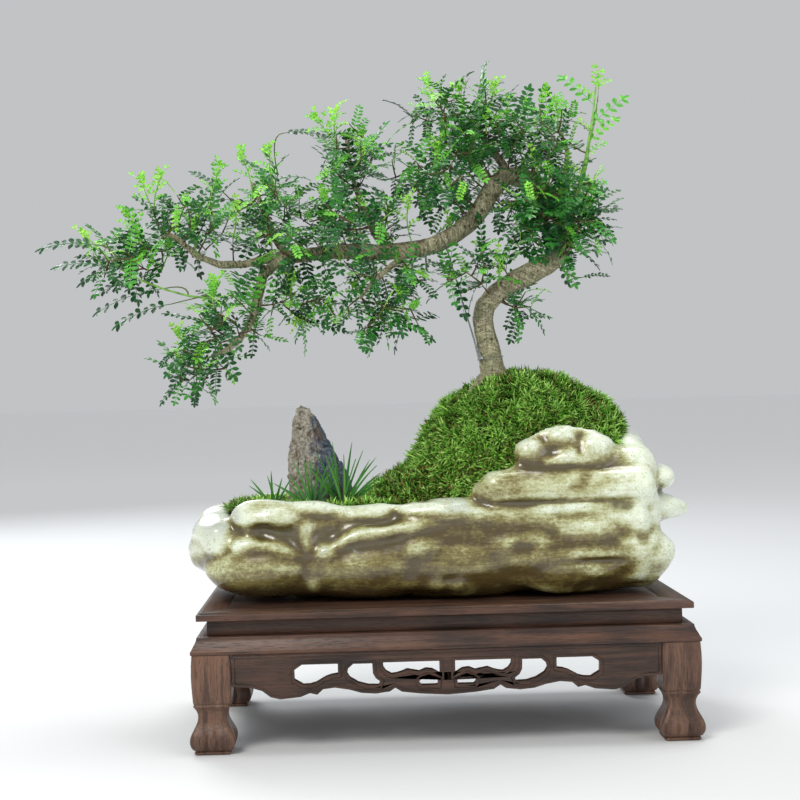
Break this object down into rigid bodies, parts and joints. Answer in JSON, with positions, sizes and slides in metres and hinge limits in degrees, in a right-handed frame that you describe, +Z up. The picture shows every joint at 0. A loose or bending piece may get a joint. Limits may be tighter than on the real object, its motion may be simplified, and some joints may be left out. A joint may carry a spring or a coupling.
{
  "type": "bonsai tree in a pot",
  "caption": "Leaning bonsai tree on a moss mound in a long glazed rock-shaped pot, with a standing stone and grass, on a carved low wooden stand.",
  "frame": {"origin": "on the floor the stand's feet rest on, under the middle of the whole object's bounding box", "axes": "+X along the stand to the right as seen from the front, +Y towards the back, +Z up; the tree leans over to -X"},
  "size_m": [0.5622, 0.234, 0.6144],
  "materials": {
    "stand_wood": "dark oiled hardwood, satin",
    "glaze": "glossy mottled celadon and olive glaze",
    "screen": "matte black mesh",
    "soil": "damp crumbly soil",
    "moss": "soft living moss",
    "stone": "rough weathered stone",
    "grass": "satin living grass",
    "bark": "rough grey-brown bark",
    "wire": "dull drawn wire",
    "leaf": "glossy living leaves"
  },
  "bodies": {
    "root": {"board_rail_front": "stand_wood", "board_rail_right": "stand_wood", "board_rail_back": "stand_wood", "board_rail_left": "stand_wood", "waist_strip_front": "stand_wood", "waist_strip_right": "stand_wood", "waist_strip_back": "stand_wood", "waist_strip_left": "stand_wood", "moulding_front": "stand_wood", "moulding_right": "stand_wood", "moulding_back": "stand_wood", "moulding_left": "stand_wood", "apron_front": "stand_wood", "apron_right": "stand_wood", "apron_back": "stand_wood", "apron_left": "stand_wood", "top_panel": "stand_wood", "batten_left": "stand_wood", "batten_right": "stand_wood", "leg_front_left": "stand_wood", "leg_front_right": "stand_wood", "leg_back_left": "stand_wood", "leg_back_right": "stand_wood", "pot": "glaze", "drain_screen": "screen", "soil": "soil", "moss_cover": "moss", "accent_stone": "stone", "grass_tuft_left": "grass", "grass_tuft_middle": "grass", "grass_tuft_right": "grass", "trunk_and_branches": "bark", "guy_wire": "wire", "leaf_spray_01": "leaf", "leaf_spray_02": "leaf", "leaf_spray_03": "leaf", "leaf_spray_04": "leaf", "leaf_spray_05": "leaf", "leaf_spray_06": "leaf", "leaf_spray_07": "leaf", "leaf_spray_08": "leaf", "leaf_spray_09": "leaf", "leaf_spray_10": "leaf", "leaf_spray_11": "leaf", "leaf_spray_12": "leaf", "leaf_spray_13": "leaf", "leaf_spray_14": "leaf", "leaf_spray_15": "leaf", "leaf_spray_16": "leaf", "leaf_spray_17": "leaf", "leaf_spray_18": "leaf", "leaf_spray_19": "leaf", "leaf_spray_20": "leaf", "leaf_spray_21": "leaf", "leaf_spray_22": "leaf", "leaf_spray_23": "leaf", "leaf_spray_24": "leaf", "leaf_spray_25": "leaf", "leaf_spray_26": "leaf"}
  },
  "joints": []
}
